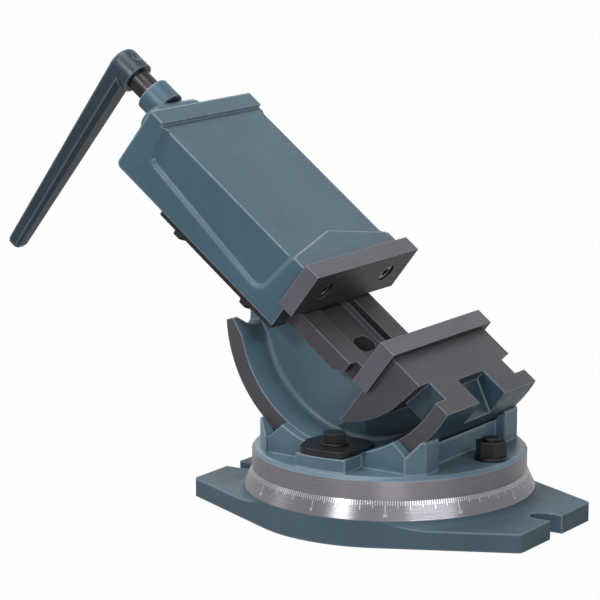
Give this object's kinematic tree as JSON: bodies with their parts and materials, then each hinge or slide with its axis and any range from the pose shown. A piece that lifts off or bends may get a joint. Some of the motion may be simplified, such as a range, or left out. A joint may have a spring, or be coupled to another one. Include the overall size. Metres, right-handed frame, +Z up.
{
  "type": "tilting vise",
  "caption": "Milling vise that tilts on a round rocker and turns on a graduated swivel base, with a screw-driven sliding jaw and a crank handle.",
  "frame": {"origin": "on the swivel axis, at the underside of the base", "axes": "+Z up along the swivel axis; +X horizontal, from the crank towards the fixed jaw; +Y along the width of the jaws"},
  "size_m": [0.4464, 0.195, 0.296],
  "materials": {
    "paint": "semi-gloss grey-blue enamel on cast iron, machined faces bare",
    "ground_steel": "ground",
    "cast_iron": "machined",
    "black_steel": "blackened",
    "bright_steel": "bright"
  },
  "bodies": {
    "base": {"base_casting": "paint"},
    "swivel": {"swivel_casting": "paint", "clamp_plate_near": "black_steel", "clamp_plate_far": "black_steel", "clamp_washer_near": "black_steel", "clamp_washer_far": "black_steel", "swivel_washer_left": "black_steel", "swivel_washer_right": "black_steel", "swivel_bolt_left": "black_steel", "swivel_bolt_right": "black_steel"},
    "rocker": {"tilting_body": "paint", "fixed_jaw_plate": "ground_steel", "fixed_plate_screw_near": "bright_steel", "fixed_plate_screw_far": "bright_steel", "feed_nut": "cast_iron", "nut_screw_front": "black_steel", "nut_screw_rear": "black_steel"},
    "jaw": {"movable_jaw": "paint", "movable_jaw_plate": "ground_steel", "movable_plate_screw_near": "bright_steel", "movable_plate_screw_far": "bright_steel", "thrust_retainer": "black_steel", "retainer_screw_1": "black_steel", "retainer_screw_2": "black_steel", "retainer_screw_3": "black_steel", "retainer_screw_4": "black_steel", "keeper_near": "cast_iron", "keeper_far": "cast_iron", "keeper_bolt_near_rear": "black_steel", "keeper_bolt_near_front": "black_steel", "keeper_bolt_far_rear": "black_steel", "keeper_bolt_far_front": "black_steel"},
    "screw": {"feed_screw": "black_steel", "crank_handle": "paint", "handle_set_screw": "black_steel"},
    "clamp_bolt_near": {"clamp_bolt_near": "black_steel"},
    "clamp_bolt_far": {"clamp_bolt_far": "black_steel"},
    "swivel_nut_left": {"swivel_nut_left": "black_steel"},
    "swivel_nut_right": {"swivel_nut_right": "black_steel"}
  },
  "joints": [
    {"name": "swivel_turn", "type": "hinge", "parent": "base", "child": "swivel", "pos_m": [0, 0, 0.03], "axis": [0, 0, 1], "continuous": true},
    {"name": "tilt", "type": "hinge", "parent": "swivel", "child": "rocker", "pos_m": [0, 0, 0.134], "axis": [0, 1, 0], "range_deg": [-37.5, 52.5]},
    {"name": "jaw_travel", "type": "slide", "parent": "rocker", "child": "jaw", "axis": [0.7934, 0, -0.6088], "range_m": [-0.0401, 0.05995]},
    {"name": "screw_turn", "type": "hinge", "parent": "jaw", "child": "screw", "pos_m": [-0.16659, 0, 0.24544], "axis": [0.7934, 0, -0.6088], "range_deg": [-3600, 5391]},
    {"name": "clamp_bolt_near_turn", "type": "hinge", "parent": "swivel", "child": "clamp_bolt_near", "pos_m": [0, -0.068, 0.06], "axis": [0, 0, 1], "range_deg": [0, 360]},
    {"name": "clamp_bolt_far_turn", "type": "hinge", "parent": "swivel", "child": "clamp_bolt_far", "pos_m": [0, 0.068, 0.06], "axis": [0, 0, 1], "range_deg": [0, 360]},
    {"name": "swivel_nut_left_turn", "type": "hinge", "parent": "swivel", "child": "swivel_nut_left", "pos_m": [-0.078, 0, 0.05], "axis": [0, 0, 1], "range_deg": [0, 360]},
    {"name": "swivel_nut_right_turn", "type": "hinge", "parent": "swivel", "child": "swivel_nut_right", "pos_m": [0.078, 0, 0.05], "axis": [0, 0, 1], "range_deg": [0, 360]}
  ],
  "couplings": [
    {"joint": "jaw_travel", "follows": "screw_turn", "m_per_rad": 0.00063662}
  ]
}
